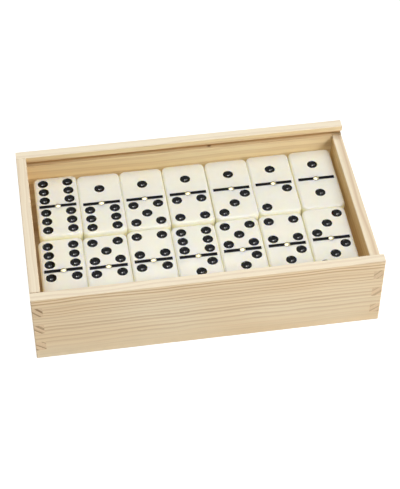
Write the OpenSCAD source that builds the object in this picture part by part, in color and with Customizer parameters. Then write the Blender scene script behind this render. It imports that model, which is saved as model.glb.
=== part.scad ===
// Finger-jointed pine storage box, open on top, packed with a double-six set of
// dominoes in two layers. The box stands on z = 0 with its centre on the Z axis,
// its length along X and the lowered end, where a sliding lid would enter, at +X.

/* [Domino tile] */
// Width of a tile
tile_w = 24.8; // [20.8:0.2:30]
// Length of a tile
tile_l = 48; // [47.6:0.2:60]
// Thickness of a tile
tile_t = 12.5; // [10:0.1:15]
// Radius of a tile's corners in plan
tile_corner_r = 3.4; // [2:0.1:3.8]
// Radius of a tile's edges all round
tile_edge_r = 1.3; // [0.6:0.05:1.6]

/* [Pips, divider and spinner] */
// Diameter of a pip at the face
pip_d = 6; // [5:0.1:6.2]
// Depth of a pip
pip_depth = 1.4; // [0.8:0.05:1.7]
// Land between the outer pips and the tile's sides
pip_side_land = 2.3; // [2:0.05:2.8]
// Land between the outer pips and the tile's ends
pip_end_land = 2.3; // [2:0.05:2.5]
// Land between the inner pips and the divider groove
divider_land = 1.05; // [0.8:0.05:1.2]
// Land between the divider groove's ends and the tile's sides
divider_end_land = 2.1; // [1.8:0.1:4]
// Width of the divider groove
divider_w = 1.7; // [1.2:0.1:2]
// Depth of the divider groove
divider_depth = 0.9; // [0.5:0.05:1.4]
// Diameter of the spinner's domed head
spinner_d = 3.2; // [2.6:0.1:3.9]
// Height of the dome above the tile's face
spinner_proud = 0.3; // [0.2:0.05:0.5]
// Diameter of the spinner's shank
shank_d = 1.6; // [1.2:0.1:2]
// Length of the spinner's shank below its head
shank_l = 5; // [3:0.5:7]

/* [Box] */
// Thickness of the four side boards
board_t = 5.8; // [4.8:0.1:8]
// Height of the boards' lower edge below the bottom panel
base_h = 5.2; // [3:0.1:9]
// Thickness of the plywood bottom panel
panel_t = 4; // [3:0.1:5]
// Free height from the top tiles' faces to the rim
headroom = 13.4; // [11:0.2:20]
// Height of the lip above the lid groove
lip_h = 3.5; // [2.5:0.1:4.2]
// How deep the lid groove is cut into the boards
lid_groove_depth = 3; // [2:0.1:3.5]
// How deep the bottom panel enters the boards
panel_tongue = 3; // [2:0.1:3.5]
// Fingers and gaps in the height of each corner, an odd number
finger_count = 7; // [5:2:9]
// Radius of the sanded long edges of the boards
board_edge_r = 0.5; // [0.2:0.1:1]
// Radius of the four upright corners
box_corner_r = 0.8; // [0.3:0.1:1.5]

/* [Clearances] */
// Mean gap between neighbouring tiles in a row
tile_gap = 0.4; // [0.3:0.05:1]
// Mean gap between the back row and the front row
row_gap = 0.9; // [0.7:0.1:2]
// Play along the box, past a row of tiles
end_play = 4.9; // [4:0.1:9]
// Play across the box, past two rows of tiles
cross_play = 7; // [6.4:0.1:12]
// Air between a spinner's dome and the tile that lies on it
seat_gap = 0.1; // [0.05:0.05:0.3]
// Clearance round and under a spinner in its seat
spinner_gap = 0.05; // [0.02:0.01:0.1]
// Glue line in the finger joints, on each side
glue_gap = 0.05; // [0.02:0.01:0.15]
// Room round the bottom panel's edges for the wood to move
panel_gap = 0.25; // [0.1:0.05:0.5]

/* [Hidden] */
$fn = 64;
columns = 7;
ivory = [0.94, 0.92, 0.85];
brass = [0.80, 0.66, 0.32];
pine = [0.90, 0.78, 0.60];
ply = [0.78, 0.64, 0.44];
over = 1;

row_l = columns * tile_w + (columns - 1) * tile_gap;
inner_l = row_l + end_play;
inner_w = 2 * tile_l + row_gap + cross_play;
box_l = inner_l + 2 * board_t;
box_w = inner_w + 2 * board_t;
layer_step = tile_t + spinner_proud + seat_gap;
floor_z = base_h + panel_t;
box_h = floor_z + layer_step + tile_t + headroom;
finger_h = box_h / finger_count;
rail_z = box_h - finger_h;
lid_groove_h = finger_h - lip_h;
pip_step_x = tile_w / 2 - pip_side_land - pip_d / 2;
outer_row_y = tile_l / 2 - pip_end_land - pip_d / 2;
inner_row_y = divider_w / 2 + divider_land + pip_d / 2;
half_centre = (outer_row_y + inner_row_y) / 2;
pip_step_y = (outer_row_y - inner_row_y) / 2;
divider_l = tile_w - 2 * divider_end_land;
pip_ball_r = (pip_d * pip_d / 4 + pip_depth * pip_depth) / (2 * pip_depth);
head_depth = divider_depth;

// Pip places for each number, in steps from the centre of the half
PIPS = [
    [],
    [[0, 0]],
    [[1, 1], [-1, -1]],
    [[1, 1], [0, 0], [-1, -1]],
    [[1, 1], [-1, 1], [1, -1], [-1, -1]],
    [[1, 1], [-1, 1], [0, 0], [1, -1], [-1, -1]],
    [[1, 1], [-1, 1], [1, 0], [-1, 0], [1, -1], [-1, -1]]
];

// The set as it is packed: layers from the bottom up, then the back and front row,
// then columns from the left. Each tile is its back half's number and its front half's.
LAYERS = [
    [[[0, 0], [1, 0], [2, 0], [3, 0], [4, 0], [5, 0], [6, 0]],
     [[2, 2], [3, 2], [4, 2], [5, 2], [6, 2], [5, 5], [6, 5]]],
    [[[6, 6], [1, 6], [1, 5], [1, 4], [1, 3], [1, 2], [1, 1]],
     [[6, 4], [5, 4], [4, 4], [6, 3], [5, 3], [4, 3], [3, 3]]]
];
// How the stacks have settled in the play, along X and along Y: the back row, then the front
STACK_X = [
    [0.3, 0.05, -0.25, -0.2, 0, -0.25, 0],
    [-1, -1.3, -1.4, -1.6, -1.7, -1.6, -1.4]
];
STACK_Y = [
    [0.8, -0.6, -0.6, -0.1, 0, 0.7, 1.1],
    [-0.4, -1.3, -0.3, -0.7, 0.3, 0.6, 1.7]
];
GRID_Y = -1.2;

// Every tile as [back number, front number, layer, row, column]
TILES = [for (z = [0 : 1], r = [0 : 1], c = [0 : columns - 1])
    [LAYERS[z][r][c][0], LAYERS[z][r][c][1], z, r, c]];
TOP_TILES = [for (t = TILES) if (t[2] == 1) t];

function id(t) = str(max(t[0], t[1]), "_", min(t[0], t[1]));
function domino_name(t) = str("domino_", id(t));
function spinner_name(t) = str("spinner_", id(t));
function stack_x(t) = (t[4] - (columns - 1) / 2) * (tile_w + tile_gap) + STACK_X[t[3]][t[4]];
function stack_y(t) = GRID_Y + (1 - 2 * t[3]) * (tile_l + row_gap) / 2 + STACK_Y[t[3]][t[4]];
function place(t) = [stack_x(t), stack_y(t), floor_z + t[2] * layer_step];

BOARDS = ["front_board", "back_board", "left_end_board", "right_end_board", "bottom_panel"];

// Rectangle with round corners, centred
module rounded_rect(w, h, r) {
    square([w - 2 * r, h], center = true);
    square([w, h - 2 * r], center = true);
    for (x = [-1, 1], y = [-1, 1])
        translate([x * (w / 2 - r), y * (h / 2 - r)]) circle(r);
}

// Half of a corner post's outline, from its axis out: a disc's section with round edges
module post_profile(r, h, e) {
    square([r - e, h]);
    translate([0, e]) square([r, h - 2 * e]);
    for (y = [e, h - e])
        translate([r - e, y]) circle(e);
}

// Block on z = 0 with corners of radius r in plan and every edge rounded by e
module rounded_block(w, l, h, r, e) {
    for (x = [-1, 1], y = [-1, 1])
        translate([x * (w / 2 - r), y * (l / 2 - r), 0])
            rotate_extrude() post_profile(r, h, e);
    translate([r - w / 2, 0, h / 2])
        rotate([90, 0, 90]) linear_extrude(w - 2 * r) rounded_rect(l, h, e);
    translate([0, l / 2 - r, h / 2])
        rotate([90, 0, 0]) linear_extrude(l - 2 * r) rounded_rect(w, h, e);
}

// Balls that cut one half's pips into the face at z = tile_t
module pip_cutters(number) {
    for (p = PIPS[number])
        translate([p[0] * pip_step_x, p[1] * pip_step_y, tile_t - pip_depth + pip_ball_r])
            sphere(pip_ball_r);
}

// Seat for the spinner: a counterbore for its head and a true bore for its shank
module spinner_seat() {
    seat_z = tile_t - head_depth - spinner_gap;
    translate([0, 0, seat_z]) cylinder(d = spinner_d + 2 * spinner_gap, h = head_depth + over);
    translate([0, 0, seat_z - shank_l]) cylinder(d = shank_d + 2 * spinner_gap, h = shank_l + over);
}

// Ivory-coloured tile lying on z = 0 with its numbered face up
module tile_body(back_number, front_number) {
    difference() {
        rounded_block(tile_w, tile_l, tile_t, tile_corner_r, tile_edge_r);
        translate([0, half_centre, 0]) pip_cutters(back_number);
        translate([0, -half_centre, 0]) pip_cutters(front_number);
        translate([-divider_l / 2, -divider_w / 2, tile_t - divider_depth])
            cube([divider_l, divider_w, divider_depth + over]);
        spinner_seat();
    }
}

// Brass pin whose low dome stands proud of the divider
module spinner_pin() {
    dome_r = (spinner_d * spinner_d / 4 + spinner_proud * spinner_proud) / (2 * spinner_proud);
    rotate_extrude() {
        translate([0, tile_t - head_depth - shank_l]) square([shank_d / 2, shank_l]);
        translate([0, tile_t - head_depth]) square([spinner_d / 2, head_depth]);
        intersection() {
            translate([0, tile_t + spinner_proud - dome_r]) circle(dome_r);
            translate([0, tile_t - spinner_proud]) square([spinner_d / 2, 2 * spinner_proud]);
        }
    }
}

// A tile in its place; in the lower layer its own spinner is the node's second solid
module domino(t) {
    translate(place(t)) {
        color(ivory) tile_body(t[0], t[1]);
        if (t[2] == 0) color(brass) spinner_pin();
    }
}

module spinner(t) {
    translate(place(t)) color(brass) spinner_pin();
}

// Room for a sliding lid: three grooves, open over the lowered end board
module lid_slot() {
    reach = inner_l / 2 + lid_groove_depth;
    translate([-reach, -inner_w / 2 - lid_groove_depth, rail_z])
        cube([reach + box_l, inner_w + 2 * lid_groove_depth, lid_groove_h]);
}

// Grooves that hold the bottom panel, stopped inside the corner joints
module panel_slot() {
    l = inner_l + 2 * (panel_tongue + panel_gap);
    w = inner_w + 2 * (panel_tongue + panel_gap);
    translate([-l / 2, -w / 2, base_h]) cube([l, w, panel_t + glue_gap]);
}

// Upright prism that rounds the box's four corners
module corner_prism() {
    translate([0, 0, -over]) linear_extrude(box_h + 2 * over)
        rounded_rect(box_l, box_w, box_corner_r);
}

// Board of the given length, standing across X, with its long edges sanded round
module sanded_board(l, h) {
    translate([-l / 2, 0, h / 2]) rotate([90, 0, 90])
        linear_extrude(l) rounded_rect(board_t, h, board_edge_r);
}

// Long board with sockets for the end boards' fingers; side is -1 in front, 1 at the back
module long_board(side) {
    color(pine) difference() {
        intersection() {
            translate([0, side * (inner_w + board_t) / 2, 0]) sanded_board(box_l, box_h);
            corner_prism();
        }
        for (x = [-1, 1], i = [1 : 2 : finger_count - 2])
            translate([x * (inner_l + board_t) / 2, side * (inner_w + board_t) / 2, (i + 0.5) * finger_h])
                cube([board_t + 2 * glue_gap, board_t + over, finger_h], center = true);
        lid_slot();
        panel_slot();
    }
}

// End board with its fingers reaching through the long boards; side is -1 left, 1 right
module end_board(side, h) {
    shoulder_w = inner_w - 2 * glue_gap;
    color(pine) difference() {
        intersection() {
            translate([side * (inner_l + board_t) / 2, 0, 0]) rotate([0, 0, 90]) sanded_board(box_w, h);
            corner_prism();
            union() {
                translate([-box_l, -shoulder_w / 2, -over])
                    cube([2 * box_l, shoulder_w, box_h + 2 * over]);
                for (i = [1 : 2 : finger_count - 2])
                    translate([-box_l, -box_w, i * finger_h + glue_gap])
                        cube([2 * box_l, 2 * box_w, finger_h - 2 * glue_gap]);
            }
        }
        lid_slot();
        panel_slot();
    }
}

module front_board() { long_board(-1); }

module back_board() { long_board(1); }

module left_end_board() { end_board(-1, box_h); }

module right_end_board() { end_board(1, rail_z); }

// Plywood panel in the grooves of the four boards
module bottom_panel() {
    l = inner_l + 2 * panel_tongue;
    w = inner_w + 2 * panel_tongue;
    color(ply) translate([-l / 2, -w / 2, base_h]) cube([l, w, panel_t]);
}

front_board();
back_board();
left_end_board();
right_end_board();
bottom_panel();
for (t = TILES)
    domino(t);
for (t = TOP_TILES)
    spinner(t);
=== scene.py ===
"""Domino storage box: finishes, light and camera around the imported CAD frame.

Every piece of the object is a CAD node, so this script gives each one its material. Lengths are
in metres. Patterns read object coordinates, which are the frame's own, so they stay with a
piece when it moves.
"""

import bpy
from mathutils import Matrix, Vector

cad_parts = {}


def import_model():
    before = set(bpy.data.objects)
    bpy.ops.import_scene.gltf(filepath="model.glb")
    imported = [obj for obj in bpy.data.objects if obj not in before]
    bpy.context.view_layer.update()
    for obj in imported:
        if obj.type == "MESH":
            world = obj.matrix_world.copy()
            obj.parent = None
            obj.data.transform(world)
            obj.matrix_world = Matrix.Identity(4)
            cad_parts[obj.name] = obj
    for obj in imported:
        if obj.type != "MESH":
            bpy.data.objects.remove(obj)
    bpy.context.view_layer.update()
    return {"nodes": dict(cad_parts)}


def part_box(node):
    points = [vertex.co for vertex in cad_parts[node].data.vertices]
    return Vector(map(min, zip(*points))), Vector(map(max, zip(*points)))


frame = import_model()
nodes = frame["nodes"]

MM = 0.001
BLACK = (0.0, 0.0, 0.0, 1.0)
WHITE = (1.0, 1.0, 1.0, 1.0)
# The values of a noise between which its effect goes from none to full
NOISE = (0.3, 0.7)
NOISE_NARROW = (0.35, 0.65)


def srgb(r, g, b):
    """An sRGB colour from 0 to 255 as the linear colour that shaders use."""
    def linear(c):
        c /= 255
        return c / 12.92 if c <= 0.04045 else ((c + 0.055) / 1.055) ** 2.4
    return (linear(r), linear(g), linear(b), 1.0)


class Tree:
    """Adds nodes to a material or world and links them; a plain value sets a socket's default."""

    def __init__(self, owner):
        owner.use_nodes = True
        self.owner = owner
        self.tree = owner.node_tree
        self.tree.nodes.clear()

    def add(self, kind, inputs=None, **settings):
        node = self.tree.nodes.new(kind)
        for key, value in settings.items():
            setattr(node, key, value)
        for key, value in (inputs or {}).items():
            self.plug(value, node.inputs[key])
        return node

    def plug(self, value, socket):
        if isinstance(value, bpy.types.NodeSocket):
            self.tree.links.new(value, socket)
        else:
            socket.default_value = value

    def math(self, operation, a, b=0.0):
        return self.add("ShaderNodeMath", {0: a, 1: b}, operation=operation).outputs[0]

    def vector(self, operation, a, b=(0.0, 0.0, 0.0)):
        node = self.add("ShaderNodeVectorMath", {0: a, 1: b}, operation=operation)
        return node.outputs["Value" if operation in ("LENGTH", "DOT_PRODUCT") else "Vector"]

    def place(self):
        return self.add("ShaderNodeTexCoord").outputs["Object"]

    def facing(self):
        return self.add("ShaderNodeNewGeometry").outputs["True Normal"]

    def join(self, x, y, z=0.0):
        return self.add("ShaderNodeCombineXYZ", {0: x, 1: y, 2: z}).outputs[0]

    def split(self, vector):
        return self.add("ShaderNodeSeparateXYZ", {0: vector}).outputs

    def noise(self, vector, scale=1.0, detail=3.0, roughness=0.55, distortion=0.0):
        return self.add("ShaderNodeTexNoise", {
            "Vector": vector, "Scale": scale, "Detail": detail,
            "Roughness": roughness, "Distortion": distortion}).outputs["Fac"]

    def ramp(self, value, stops):
        node = self.add("ShaderNodeValToRGB", {"Fac": value})
        elements = node.color_ramp.elements
        while len(elements) < len(stops):
            elements.new(0.5)
        for element, (position, colour) in zip(elements, stops):
            element.position = position
            element.color = colour
        return node.outputs["Color"]

    def span(self, value, low, high, to_low=0.0, to_high=1.0):
        """The value, taken from the range low to high to another range, and kept inside it."""
        return self.add("ShaderNodeMapRange", {
            "Value": value, "From Min": low, "From Max": high,
            "To Min": to_low, "To Max": to_high}).outputs["Result"]

    def mix(self, factor, a, b, blend="MIX"):
        node = self.add("ShaderNodeMix", data_type="RGBA", blend_type=blend, clamp_factor=True)
        self.plug(factor, node.inputs["Factor"])
        self.plug(a, node.inputs["A"])
        self.plug(b, node.inputs["B"])
        return node.outputs["Result"]

    def bump(self, height, distance, strength):
        return self.add("ShaderNodeBump", {
            "Height": height, "Distance": distance, "Strength": strength}).outputs["Normal"]

    def seen_directly(self):
        """1 where the camera sees this, also in a reflection or through glass, and else 0."""
        rays = self.add("ShaderNodeLightPath").outputs
        bent = self.math("MAXIMUM", rays["Is Glossy Ray"], rays["Is Transmission Ray"])
        return self.math("MAXIMUM", rays["Is Camera Ray"], bent)

    def surface(self, **inputs):
        """Ends a material with one principled shader, whose inputs are named with underscores."""
        named = {key.replace("_", " "): value for key, value in inputs.items()}
        shader = self.add("ShaderNodeBsdfPrincipled", named)
        self.add("ShaderNodeOutputMaterial", {"Surface": shader.outputs["BSDF"]})
        return self.owner


def paint(node, material):
    mesh = nodes[node].data
    mesh.materials.clear()
    mesh.materials.append(material)


# Pine

PINE_PALE = srgb(241, 226, 196)
PINE_MID = srgb(236, 212, 175)
PINE_LATE = srgb(195, 157, 115)
# The planed top: the planed wood's own paleness, and a painted sheen of the light from above
PINE_PLANED_SHEEN = srgb(252, 242, 221)
PINE_KNOT = srgb(112, 72, 44)
PINE_END = srgb(232, 207, 172)
PINE_END_LATE = srgb(134, 98, 62)
PINE_GROOVE_SHADE = srgb(184, 144, 94)
PINE_SPECULAR = 0.15
PINE_ROUGH = (0.50, 0.64)
PINE_RELIEF = 0.10 * MM
PINE_RELIEF_STRENGTH = 0.5
# Shares of the rings and of the fine grain in the relief
RING_RELIEF = 0.55
GRAIN_RELIEF = 0.45

# How dark one year's ring is, from its early wood to its late wood
LATE_WOOD = [(part, (dark, dark, dark, 1.0)) for part, dark in (
    (0.0, 0.0), (0.40, 0.06), (0.66, 0.55), (0.82, 1.0), (0.92, 0.6), (1.0, 0.0))]
# How a year's width and darkness differ from its neighbours'
YEAR_PATTERN = 0.43
YEAR_WIDTH = 0.9
YEAR_TONE = (0.45, 1.0)

# Scales of the patterns along the grain and across it, per metre
WANDER_SCALE = (16.0, 30.0)
FIBRE_SCALE = (20.0, 900.0)
FINE_SCALE = (90.0, 4200.0)
BLOTCH_SCALE = (9.0, 24.0)
PORE_SCALE = (2600.0, 2600.0, 2600.0)
SEED_SHIFT = Vector((1.0, 1.7, 0.6))
# How far the rings stray from straight lines
WANDER = 3.6 * MM
# The fibres' values that show as streaks, and a streak's brightness from palest to darkest
STREAKED = (0.35, 0.75)
STREAK = (1.03, 0.94)
# The late wood that marks the end grain, and the pores that darken it
END_MARKED = (0.15, 0.5)
END_PORES = (0.42, 0.62)
END_PORE_SHARE = 0.2

# Cosines between which a face counts from not at all to wholly as looking up, out of the box
# or along the grain
LOOKS_UP = (0.25, 0.85)
LOOKS_OUT = (0.3, 0.8)
LOOKS_ALONG = (0.75, 0.95)

# A knot's dark core and the bend of the rings round it, in radii from full to none, how strong
# each is, and the factor on distances along the grain, which draws it out that way
KNOT_CORE = (0.5, 1.2)
KNOT_CORE_SHARE = 0.85
KNOT_CORE_STRETCH = 0.6
KNOT_BEND = (0.4, 5.0)
KNOT_BEND_SHARE = 0.8
KNOT_BEND_STRETCH = 0.3

# The planed edge fades out this far under the board's top
PLANED_FADE = (1.4 * MM, 0.9 * MM)
PLANED_SHARE = 0.8
# Heights of the lid's groove, and the depths behind the outer face between which its painted shade
# comes in
GROOVE_Z = (41.1 * MM, 44.55 * MM)
GROOVE_DEPTHS = (4.4 * MM, 3.4 * MM)
GROOVE_SHARE = 0.8
# Light that pale wood throws to and fro in the narrow gaps beside the tiles
GAP_GLOW = 0.08
GAP_DEPTHS = (13.0 * MM, 17.0 * MM)

# Painted light on the boards' inner sides: golden for light bounced inside the box, paler where
# more light falls, deeper where they lie in shade
GOLDEN_BOUNCE = (1.0, 0.93, 0.76, 1.0)
PALE_LIT = (1.10, 1.11, 1.04, 1.0)
DEEP_SHADE = (0.89, 0.77, 0.54, 1.0)

# Each pith is placed so that the rings cross the faces as the photograph shows: pith_in is its
# distance from the board's inner face, towards the middle of the box. The contrast of the rings
# is given at the bottom and at the top, and the painted light on the inner side at the left and
# at the right. top_lines and end_marks are the rings' strength on the planed top and on the end
# grain. Knots are pairs of place and radius.
BOARDS = {
    "front_board": dict(
        outward=(0, -1, 0), pith_in=34.2 * MM, pith_z=-10 * MM, ring_step=1.75 * MM, seed=3.1,
        contrast=(0.15, 1.25), inside_light=(GOLDEN_BOUNCE, GOLDEN_BOUNCE), top_lines=0.2, end_marks=0.6),
    "back_board": dict(
        outward=(0, 1, 0), pith_in=45 * MM, pith_z=-8 * MM, ring_step=3.4 * MM, seed=11.4,
        contrast=(0.45, 0.45), inside_light=(GOLDEN_BOUNCE, PALE_LIT), top_lines=0.2, end_marks=0.6,
        knots=[((16.9 * MM, 53.9 * MM, 41.2 * MM), 0.8 * MM)]),
    "left_end_board": dict(
        outward=(-1, 0, 0), pith_in=60 * MM, pith_z=100 * MM, ring_step=3.3 * MM, seed=21.7,
        contrast=(0.6, 0.6), inside_light=(GOLDEN_BOUNCE, GOLDEN_BOUNCE), top_lines=0.4, end_marks=0.75),
    "right_end_board": dict(
        outward=(1, 0, 0), pith_in=60 * MM, pith_z=105 * MM, ring_step=3.3 * MM, seed=34.2,
        contrast=(0.6, 0.6), inside_light=(DEEP_SHADE, DEEP_SHADE), top_lines=0.8, end_marks=0.4),
}


class Board(Tree):
    """The material of one board. Its grain runs level, square to its outward direction."""

    def __init__(self, node, outward, seed):
        super().__init__(bpy.data.materials.new("pine_" + node))
        self.low, self.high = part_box(node)
        self.outward = Vector(outward)
        self.inner_face, self.outer_face = sorted(
            self.outward.dot(corner) for corner in (self.low, self.high))
        self.along = Vector((abs(self.outward.y), abs(self.outward.x), 0.0))
        self.across = Vector((1.0, 1.0, 1.0)) - self.along
        self.seed = seed
        self.at = self.place()
        self.level = self.split(self.at)[2]
        self.normal = self.facing()

    def stretched(self, scales):
        """The place, scaled along the grain and across it, and shifted by the seed."""
        scale = scales[0] * self.along + scales[1] * self.across
        return self.vector("ADD", self.vector("MULTIPLY", self.at, scale), self.seed * SEED_SHIFT)

    def wandering(self):
        """The place, moved a little, because a trunk isn't straight."""
        noise = self.add("ShaderNodeTexNoise", {
            "Vector": self.stretched(WANDER_SCALE), "Scale": 1.0, "Detail": 2.0})
        shift = self.vector("SUBTRACT", noise.outputs["Color"], (0.5, 0.5, 0.5))
        return self.vector("ADD", self.at, self.vector("MULTIPLY", shift, (WANDER, WANDER, WANDER)))

    def bent(self, moved, knots):
        """The moved place, pulled towards each knot, so that the rings go round it."""
        for spot, radius in knots:
            away = self.vector("SUBTRACT", moved, spot)
            drawn = self.vector("MULTIPLY", away, KNOT_BEND_STRETCH * self.along + self.across)
            share = self.span(self.vector("LENGTH", drawn), *(radius * r for r in KNOT_BEND),
                              KNOT_BEND_SHARE, 0.0)
            pull = self.vector("MULTIPLY", away, self.join(share, share, share))
            moved = self.vector("SUBTRACT", moved, pull)
        return moved

    def late_wood(self, moved, pith, ring_step):
        """How dark the rings round the pith are, in years of unlike width and tone."""
        radial = self.vector("MULTIPLY", self.vector("SUBTRACT", moved, pith), self.across)
        ring = self.math("DIVIDE", self.vector("LENGTH", radial), ring_step)
        years = self.add("ShaderNodeTexNoise", {
            "W": self.math("MULTIPLY", ring, YEAR_PATTERN), "Detail": 1.0}, noise_dimensions="1D")
        ring = self.math("ADD", ring, self.math("MULTIPLY", years.outputs["Fac"], YEAR_WIDTH))
        year = self.math("ADD", self.math("FLOOR", ring), self.seed)
        tone = self.add("ShaderNodeTexWhiteNoise", {"W": year}, noise_dimensions="1D")
        late = self.ramp(self.math("FRACT", ring), LATE_WOOD)
        return self.math("MULTIPLY", late, self.span(tone.outputs["Value"], 0.0, 1.0, *YEAR_TONE))

    def planed_and_sheen(self):
        """1 on the board's planed upper edge, painted paler: the planed wood, and a painted sheen
        of the light from above.
        """
        upper = self.span(self.level, *(self.high.z - fade for fade in PLANED_FADE))
        up = self.span(self.split(self.normal)[2], *LOOKS_UP, 0.0, PLANED_SHARE)
        return self.math("MULTIPLY", up, upper)

    def inside(self, planed_and_sheen):
        """1 where a face is neither the outer one nor the planed edge."""
        outer = self.span(self.vector("DOT_PRODUCT", self.normal, self.outward), *LOOKS_OUT)
        return self.math("SUBTRACT", 1.0, self.math("MAXIMUM", outer, planed_and_sheen))

    def groove_shade(self, inside):
        """1 at the deep end of the lid's groove, where shade is painted."""
        cut = self.math("MULTIPLY", self.math("GREATER_THAN", self.level, GROOVE_Z[0]),
                        self.math("LESS_THAN", self.level, GROOVE_Z[1]))
        deep = self.span(self.vector("DOT_PRODUCT", self.at, self.outward),
                         *(self.outer_face - depth for depth in GROOVE_DEPTHS))
        return self.math("MULTIPLY", self.math("MULTIPLY", cut, inside), deep)

    def end_grain(self, colour, late, end_marks):
        """The colour, replaced by end grain where a face looks along the grain."""
        end = self.span(self.math("ABSOLUTE", self.vector("DOT_PRODUCT", self.normal, self.along)),
                        *LOOKS_ALONG)
        pores = self.noise(self.vector("MULTIPLY", self.at, PORE_SCALE), detail=2.0, roughness=0.7)
        cut = self.mix(self.span(late, *END_MARKED, 0.0, end_marks), PINE_END, PINE_END_LATE)
        cut = self.mix(self.span(pores, *END_PORES, END_PORE_SHARE, 0.0), cut, PINE_END_LATE)
        return self.mix(end, colour, cut)

    def knotted(self, colour, knots):
        for spot, radius in knots:
            away = self.vector("MULTIPLY", self.vector("SUBTRACT", self.at, spot),
                               KNOT_CORE_STRETCH * self.along + self.across)
            core = self.span(self.vector("LENGTH", away), *(radius * r for r in KNOT_CORE),
                             KNOT_CORE_SHARE, 0.0)
            colour = self.mix(core, colour, PINE_KNOT)
        return colour


def pine(node, outward, pith_in, pith_z, ring_step, seed, contrast, inside_light, top_lines, end_marks,
         knots=()):
    """Sawn and sanded pine, as BOARDS describes it."""
    t = Board(node, outward, seed)
    pith = (t.inner_face - pith_in) * t.outward + Vector((0.0, 0.0, pith_z))
    late = t.late_wood(t.bent(t.wandering(), knots), pith, ring_step)
    marked = t.math("MULTIPLY", late, t.span(t.level, 0.0, t.high.z, *contrast))
    fibre = t.noise(t.stretched(FIBRE_SCALE), detail=4.0, roughness=0.6)
    fine = t.noise(t.stretched(FINE_SCALE), detail=2.0, roughness=0.6)
    blotch = t.noise(t.stretched(BLOTCH_SCALE), detail=2.0)

    colour = t.mix(t.span(blotch, *NOISE_NARROW), PINE_PALE, PINE_MID)
    colour = t.mix(marked, colour, PINE_LATE)
    streak = t.span(fibre, *STREAKED, *STREAK)
    colour = t.mix(1.0, colour, t.join(streak, streak, streak), "MULTIPLY")

    # The planed upper edge is paler than the outer face, partly as planed wood and partly as a
    # painted sheen of the light from above; the inside gets painted light, a golden bounce with
    # paler and shaded ends
    planed_and_sheen = t.planed_and_sheen()
    top_colour = t.mix(t.math("MULTIPLY", late, top_lines), PINE_PLANED_SHEEN, PINE_LATE)
    colour = t.mix(planed_and_sheen, colour, top_colour)
    inside = t.inside(planed_and_sheen)
    # Painted light on the inner faces: golden bounce light, paler where lit and deeper in shade
    # from left to right
    bounce_and_shade = t.mix(t.span(t.split(t.at)[0], t.low.x, t.high.x), *inside_light)
    colour = t.mix(inside, colour, t.mix(1.0, colour, bounce_and_shade, "MULTIPLY"))

    # The deep end of the lid's groove is darker: painted shade
    colour = t.mix(t.math("MULTIPLY", t.groove_shade(inside), GROOVE_SHARE), colour, PINE_GROOVE_SHADE)
    colour = t.end_grain(colour, late, end_marks)
    colour = t.knotted(colour, knots)

    starts, full = (t.high.z - depth for depth in GAP_DEPTHS)
    gap = t.math("MULTIPLY", inside, t.span(t.level, starts, full, 0.0, GAP_GLOW))
    height = t.math("ADD", t.math("MULTIPLY", late, RING_RELIEF),
                    t.math("MULTIPLY", fine, GRAIN_RELIEF))
    return t.surface(
        Base_Color=colour, Roughness=t.span(fibre, *NOISE, *PINE_ROUGH),
        Specular_IOR_Level=PINE_SPECULAR, Normal=t.bump(height, PINE_RELIEF, PINE_RELIEF_STRENGTH),
        Emission_Color=t.mix(gap, BLACK, colour), Emission_Strength=1.0)


# Plywood

PLY_FIGURE = [(0.3, srgb(226, 200, 160)), (0.52, srgb(214, 184, 140)), (0.7, srgb(196, 160, 114))]
PLY_FIBRE = srgb(178, 140, 96)
PLY_FIGURE_SCALE = (18.0, 120.0, 40.0)
PLY_FIBRE_SCALE = (80.0, 2400.0, 900.0)
# The fine noise that shows as fibres, and how strongly
PLY_FIBRES = (0.4, 0.7)
PLY_FIBRE_SHARE = 0.3
PLY_ROUGH = (0.5, 0.65)
PLY_RELIEF = 0.08 * MM
PLY_RELIEF_STRENGTH = 0.5
PLY_LOOKS_UP = (0.5, 0.9)


def plywood(name):
    """Thin birch plywood: a mild figure and fine fibres."""
    t = Tree(bpy.data.materials.new(name))
    place = t.place()
    figure = t.noise(t.vector("MULTIPLY", place, PLY_FIGURE_SCALE),
                     detail=4.0, roughness=0.6, distortion=0.6)
    fine = t.noise(t.vector("MULTIPLY", place, PLY_FIBRE_SCALE))
    fibres = t.span(fine, *PLY_FIBRES, 0.0, PLY_FIBRE_SHARE)
    colour = t.mix(fibres, t.ramp(figure, PLY_FIGURE), PLY_FIBRE)
    gap = t.span(t.split(t.facing())[2], *PLY_LOOKS_UP, 0.0, GAP_GLOW)
    return t.surface(
        Base_Color=colour, Roughness=t.span(fine, *NOISE, *PLY_ROUGH),
        Normal=t.bump(fine, PLY_RELIEF, PLY_RELIEF_STRENGTH),
        Emission_Color=t.mix(gap, BLACK, colour), Emission_Strength=1.0)


# Dominoes

IVORY = srgb(247, 244, 230)
IVORY_CLOUD = srgb(245, 241, 226)
IVORY_SIDE = srgb(244, 240, 213)
IVORY_GLOW = srgb(84, 81, 69)
IVORY_ROUGH = (0.13, 0.24)
IVORY_SPECULAR = 0.2
IVORY_RELIEF = 0.03 * MM
IVORY_RELIEF_STRENGTH = 0.4
# Shares of the clouds and of the specks in the relief
CLOUD_RELIEF = 0.8
SPECK_RELIEF = 0.2
# How much light scatters inside the resin, how deep, and how far red, green and blue go
MILK = 0.9
MILK_DEPTH = 6.0 * MM
MILK_TINT = (1.0, 0.9, 0.6)
LACQUER = srgb(12, 12, 13)
LACQUER_ROUGH = (0.06, 0.13)
DIVIDER_PAINT = srgb(46, 46, 48)
CLOUD_SCALE = 160.0
SPECK_SCALE = 2300.0
# Each tile has its own clouds
CLOUD_SHIFT = 0.37

TILE_CORNER_R = 3.4 * MM
# Pips and divider lie further than this inside the outline. They are deeper than the lip, and
# no deeper than a share of the tile's thickness.
RECESS_MARGIN = 1.4 * MM
RECESS_LIP = 0.03 * MM
RECESS_DEEPEST = 1 / 3
DIVIDER_L = 20.6 * MM
DIVIDER_W = 1.7 * MM
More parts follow.
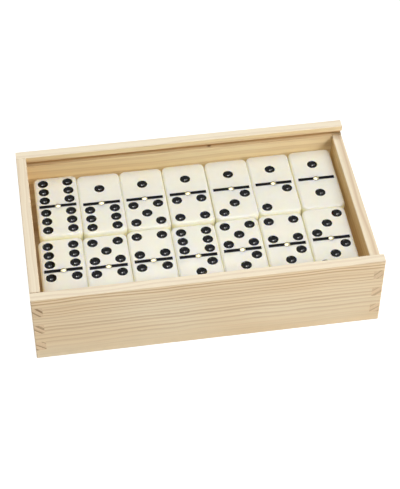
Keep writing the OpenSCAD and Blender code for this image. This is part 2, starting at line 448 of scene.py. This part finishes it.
# How far the divider's paint runs over its edges
PAINT_OVER = 0.3 * MM
# Depths under the face over which the side turns yellow, and over which its glow fades
SIDE_DEPTHS = (-0.15 * MM, -2.0 * MM)
GLOW_DEPTHS = (-3.0 * MM, -9.0 * MM)
GLOW_FADE = (1.0, 0.2)

BRASS = srgb(152, 146, 120)
BRASS_TARNISH = srgb(124, 110, 74)
BRASS_ROUGH = (0.32, 0.44)
BRASS_ROUGH_BELOW = (0.2, 0.3)
BRASS_RELIEF = 0.01 * MM
BRASS_RELIEF_STRENGTH = 0.4
SMEAR_SCALE = (900.0, 900.0, 4000.0)
TARNISH_SCALE = 420.0
TARNISHED = (0.45, 0.75)
TARNISH_SHARE = 0.6
SPINNER_R = 1.6 * MM
SPINNER_HEAD = 0.9 * MM
SPINNER_PROUD = 0.3 * MM
# A spinner in a tile's own node is told by its place, with a little room round it
SPINNER_ROOM_R = 0.03 * MM
SPINNER_ROOM_Z = 0.02 * MM


class Tile(Tree):
    """The material of one domino. x, y and z start at the middle of its face."""

    def __init__(self, node, has_spinner):
        super().__init__(bpy.data.materials.new("ivory_" + node))
        low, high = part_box(node)
        self.size = high - low
        face = high.z - (SPINNER_PROUD if has_spinner else 0.0)
        centre = Vector(((low.x + high.x) / 2, (low.y + high.y) / 2, face))
        self.at = self.place()
        self.x, self.y, self.z = self.split(self.vector("SUBTRACT", self.at, centre))

    def outline(self):
        """Distance to the tile's rounded outline, negative inside."""
        past_x, past_y = (
            self.math("SUBTRACT", self.math("ABSOLUTE", place), size / 2 - TILE_CORNER_R)
            for place, size in ((self.x, self.size.x), (self.y, self.size.y)))
        corner = self.vector("LENGTH", self.join(
            self.math("MAXIMUM", past_x, 0.0), self.math("MAXIMUM", past_y, 0.0)))
        within = self.math("MINIMUM", self.math("MAXIMUM", past_x, past_y), 0.0)
        return self.math("SUBTRACT", self.math("ADD", corner, within), TILE_CORNER_R)

    def band(self):
        """1 over the divider, with the paint that runs a little over its edges."""
        return self.math(
            "MULTIPLY",
            self.math("LESS_THAN", self.math("ABSOLUTE", self.x), DIVIDER_L / 2 + PAINT_OVER),
            self.math("LESS_THAN", self.math("ABSOLUTE", self.y), DIVIDER_W / 2 + PAINT_OVER))

    def recess(self, band):
        """1 in the pips, which are told by their depth, and over the divider."""
        inside = self.math("LESS_THAN", self.outline(), -RECESS_MARGIN)
        sunk = self.math("MULTIPLY", self.math("LESS_THAN", self.z, -RECESS_LIP),
                         self.math("GREATER_THAN", self.z, -RECESS_DEEPEST * self.size.z))
        return self.math("MULTIPLY", inside, self.math("MAXIMUM", sunk, band))

    def head(self):
        """1 on the spinner in the middle."""
        radius = self.vector("LENGTH", self.join(self.x, self.y))
        return self.math(
            "MULTIPLY", self.math("LESS_THAN", radius, SPINNER_R + SPINNER_ROOM_R),
            self.math("GREATER_THAN", self.z, -SPINNER_HEAD - SPINNER_ROOM_Z))


def ivory(node, number, has_spinner):
    """Cast resin tile with lacquered pips and divider, and its spinner if it's the same node."""
    t = Tile(node, has_spinner)
    band = t.band()
    recess = t.recess(band)
    bare = t.math("SUBTRACT", 1.0, recess)
    seeded = t.vector("ADD", t.at, (CLOUD_SHIFT * number, 0.0, 0.0))
    cloud = t.noise(seeded, CLOUD_SCALE, roughness=0.6)
    speck = t.noise(seeded, SPECK_SCALE, detail=2.0, roughness=0.5)

    # The resin looks yellower, and glows, where light comes out of its sides
    side = t.span(t.z, *SIDE_DEPTHS)
    body = t.mix(t.span(cloud, *NOISE_NARROW), IVORY, IVORY_CLOUD)
    body = t.mix(side, body, IVORY_SIDE)
    lit = t.math("MULTIPLY", side, t.span(t.z, *GLOW_DEPTHS, *GLOW_FADE))
    colour = t.mix(recess, body, t.mix(band, LACQUER, DIVIDER_PAINT))
    rough = t.mix(recess, t.span(cloud, *NOISE, *IVORY_ROUGH),
                  t.span(speck, *NOISE, *LACQUER_ROUGH))
    height = t.math("ADD", t.math("MULTIPLY", cloud, CLOUD_RELIEF),
                    t.math("MULTIPLY", speck, SPECK_RELIEF))
    milk = t.math("MULTIPLY", bare, MILK)
    shown = dict(
        Base_Color=colour, Roughness=rough,
        Normal=t.bump(height, IVORY_RELIEF, IVORY_RELIEF_STRENGTH),
        Subsurface_Weight=milk, Subsurface_Scale=MILK_DEPTH, Subsurface_Radius=MILK_TINT,
        Specular_IOR_Level=IVORY_SPECULAR,
        Emission_Color=t.mix(t.math("MULTIPLY", lit, bare), BLACK, IVORY_GLOW),
        Emission_Strength=1.0)
    if has_spinner:
        head = t.head()
        shown["Base_Color"] = t.mix(head, colour, BRASS)
        shown["Metallic"] = head
        shown["Roughness"] = t.mix(head, rough, t.span(speck, *NOISE, *BRASS_ROUGH_BELOW))
        shown["Subsurface_Weight"] = t.math("MULTIPLY", milk, t.math("SUBTRACT", 1.0, head))
    return t.surface(**shown)


def brass(name):
    """Polished brass with a little tarnish."""
    t = Tree(bpy.data.materials.new(name))
    smear = t.noise(t.vector("MULTIPLY", t.place(), SMEAR_SCALE))
    tarnish = t.span(t.noise(t.place(), TARNISH_SCALE), *TARNISHED, 0.0, TARNISH_SHARE)
    return t.surface(
        Base_Color=t.mix(tarnish, BRASS, BRASS_TARNISH), Metallic=1.0,
        Roughness=t.span(smear, *NOISE, *BRASS_ROUGH),
        Normal=t.bump(smear, BRASS_RELIEF, BRASS_RELIEF_STRENGTH))


def finish_pieces():
    for node, wood in BOARDS.items():
        paint(node, pine(node, **wood))
    paint("bottom_panel", plywood("plywood_bottom"))
    dominoes = sorted(node for node in nodes if node.startswith("domino_"))
    for number, node in enumerate(dominoes):
        has_spinner = node.replace("domino", "spinner") not in nodes
        paint(node, ivory(node, number, has_spinner))
    metal = brass("brass_spinner")
    for node in nodes:
        if node.startswith("spinner_"):
            paint(node, metal)


# Stage

FLOOR_SIZE = 30.0
# The floor lights the object as a pale cloth does, and shows white with a faint shadow
FLOOR_CLOTH = (0.8, 0.8, 0.8, 1.0)
FLOOR_SHADOWED = (0.35, 0.35, 0.35, 1.0)
FLOOR_GLOW = 0.88
FILL_COLOUR = (1.0, 0.99, 0.97, 1.0)
FILL_STRENGTH = 0.36

LAMPS_AIM = Vector((0.0, 0.0, 0.03))
BACK_SOFTBOX = dict(size=(0.45, 0.40), watts=4.6, at=(-0.38, 0.58, 1.05))
SIDE_SOFTBOX = dict(size=(0.45, 0.45), watts=6.7, at=(0.62, -0.66, 0.66), colour=(1.0, 0.98, 0.95))
# Only reflections see this one: the small highlights in the pips and on the spinners
GLINT = dict(size=(0.34, 0.26), watts=14.0, at=(0.12, 0.62, 1.08))

# The photograph's camera, fitted to the object
IMAGE_W = 400
FOCAL_PX = 1473.7
SENSOR_W = 36.0
CAMERA_CLIP = (0.05, 60.0)
CAMERA_AT = Vector((-0.0879, -0.5747, 0.6344))
CAMERA_RIGHT = Vector((0.9883, -0.1522, 0.0044))
CAMERA_DOWN = Vector((-0.1080, -0.7207, -0.6848))
CAMERA_FORWARD = Vector((0.1074, 0.6763, -0.7288))


def floor():
    bpy.ops.mesh.primitive_plane_add(size=FLOOR_SIZE, location=(0, 0, 0))
    plane = bpy.context.object
    plane.name = "stage_floor"
    t = Tree(bpy.data.materials.new("stage_white"))
    cloth = t.add("ShaderNodeBsdfDiffuse", {"Color": FLOOR_CLOTH}).outputs[0]
    soft = t.add("ShaderNodeBsdfDiffuse", {"Color": FLOOR_SHADOWED}).outputs[0]
    glow = t.add("ShaderNodeEmission", {"Color": WHITE, "Strength": FLOOR_GLOW}).outputs[0]
    shown = t.add("ShaderNodeAddShader", {0: soft, 1: glow}).outputs[0]
    both = t.add("ShaderNodeMixShader", {0: t.seen_directly(), 1: cloth, 2: shown}).outputs[0]
    t.add("ShaderNodeOutputMaterial", {"Surface": both})
    plane.data.materials.append(t.owner)


def world():
    """White to the camera and in reflections, and a grey fill light."""
    studio = bpy.data.worlds.new("studio")
    bpy.context.scene.world = studio
    t = Tree(studio)
    fill = t.add("ShaderNodeBackground", {
        "Color": FILL_COLOUR, "Strength": FILL_STRENGTH}).outputs[0]
    shown = t.add("ShaderNodeBackground", {"Color": WHITE}).outputs[0]
    both = t.add("ShaderNodeMixShader", {0: t.seen_directly(), 1: fill, 2: shown}).outputs[0]
    t.add("ShaderNodeOutputWorld", {"Surface": both})


def lamp(name, size, watts, at, colour=(1.0, 1.0, 1.0)):
    data = bpy.data.lights.new(name, "AREA")
    data.shape = "RECTANGLE"
    data.size, data.size_y = size
    data.energy = watts
    data.color = colour
    obj = bpy.data.objects.new(name, data)
    bpy.context.scene.collection.objects.link(obj)
    obj.location = at
    obj.rotation_mode = "QUATERNION"
    obj.rotation_quaternion = (LAMPS_AIM - Vector(at)).to_track_quat("-Z", "Y")
    return obj


def camera():
    data = bpy.data.cameras.new("photo_camera")
    data.sensor_fit = "HORIZONTAL"
    data.sensor_width = SENSOR_W
    data.lens = FOCAL_PX / IMAGE_W * SENSOR_W
    data.clip_start, data.clip_end = CAMERA_CLIP
    obj = bpy.data.objects.new("photo_camera", data)
    bpy.context.scene.collection.objects.link(obj)
    axes = Matrix((CAMERA_RIGHT, -CAMERA_DOWN, -CAMERA_FORWARD)).transposed()
    obj.matrix_world = Matrix.Translation(CAMERA_AT) @ axes.to_4x4()
    bpy.context.scene.camera = obj


finish_pieces()
floor()
world()
lamp("back_softbox", **BACK_SOFTBOX)
lamp("side_softbox", **SIDE_SOFTBOX)
lamp("glint", **GLINT).visible_diffuse = False
camera()
bpy.context.scene.view_settings.view_transform = "Standard"
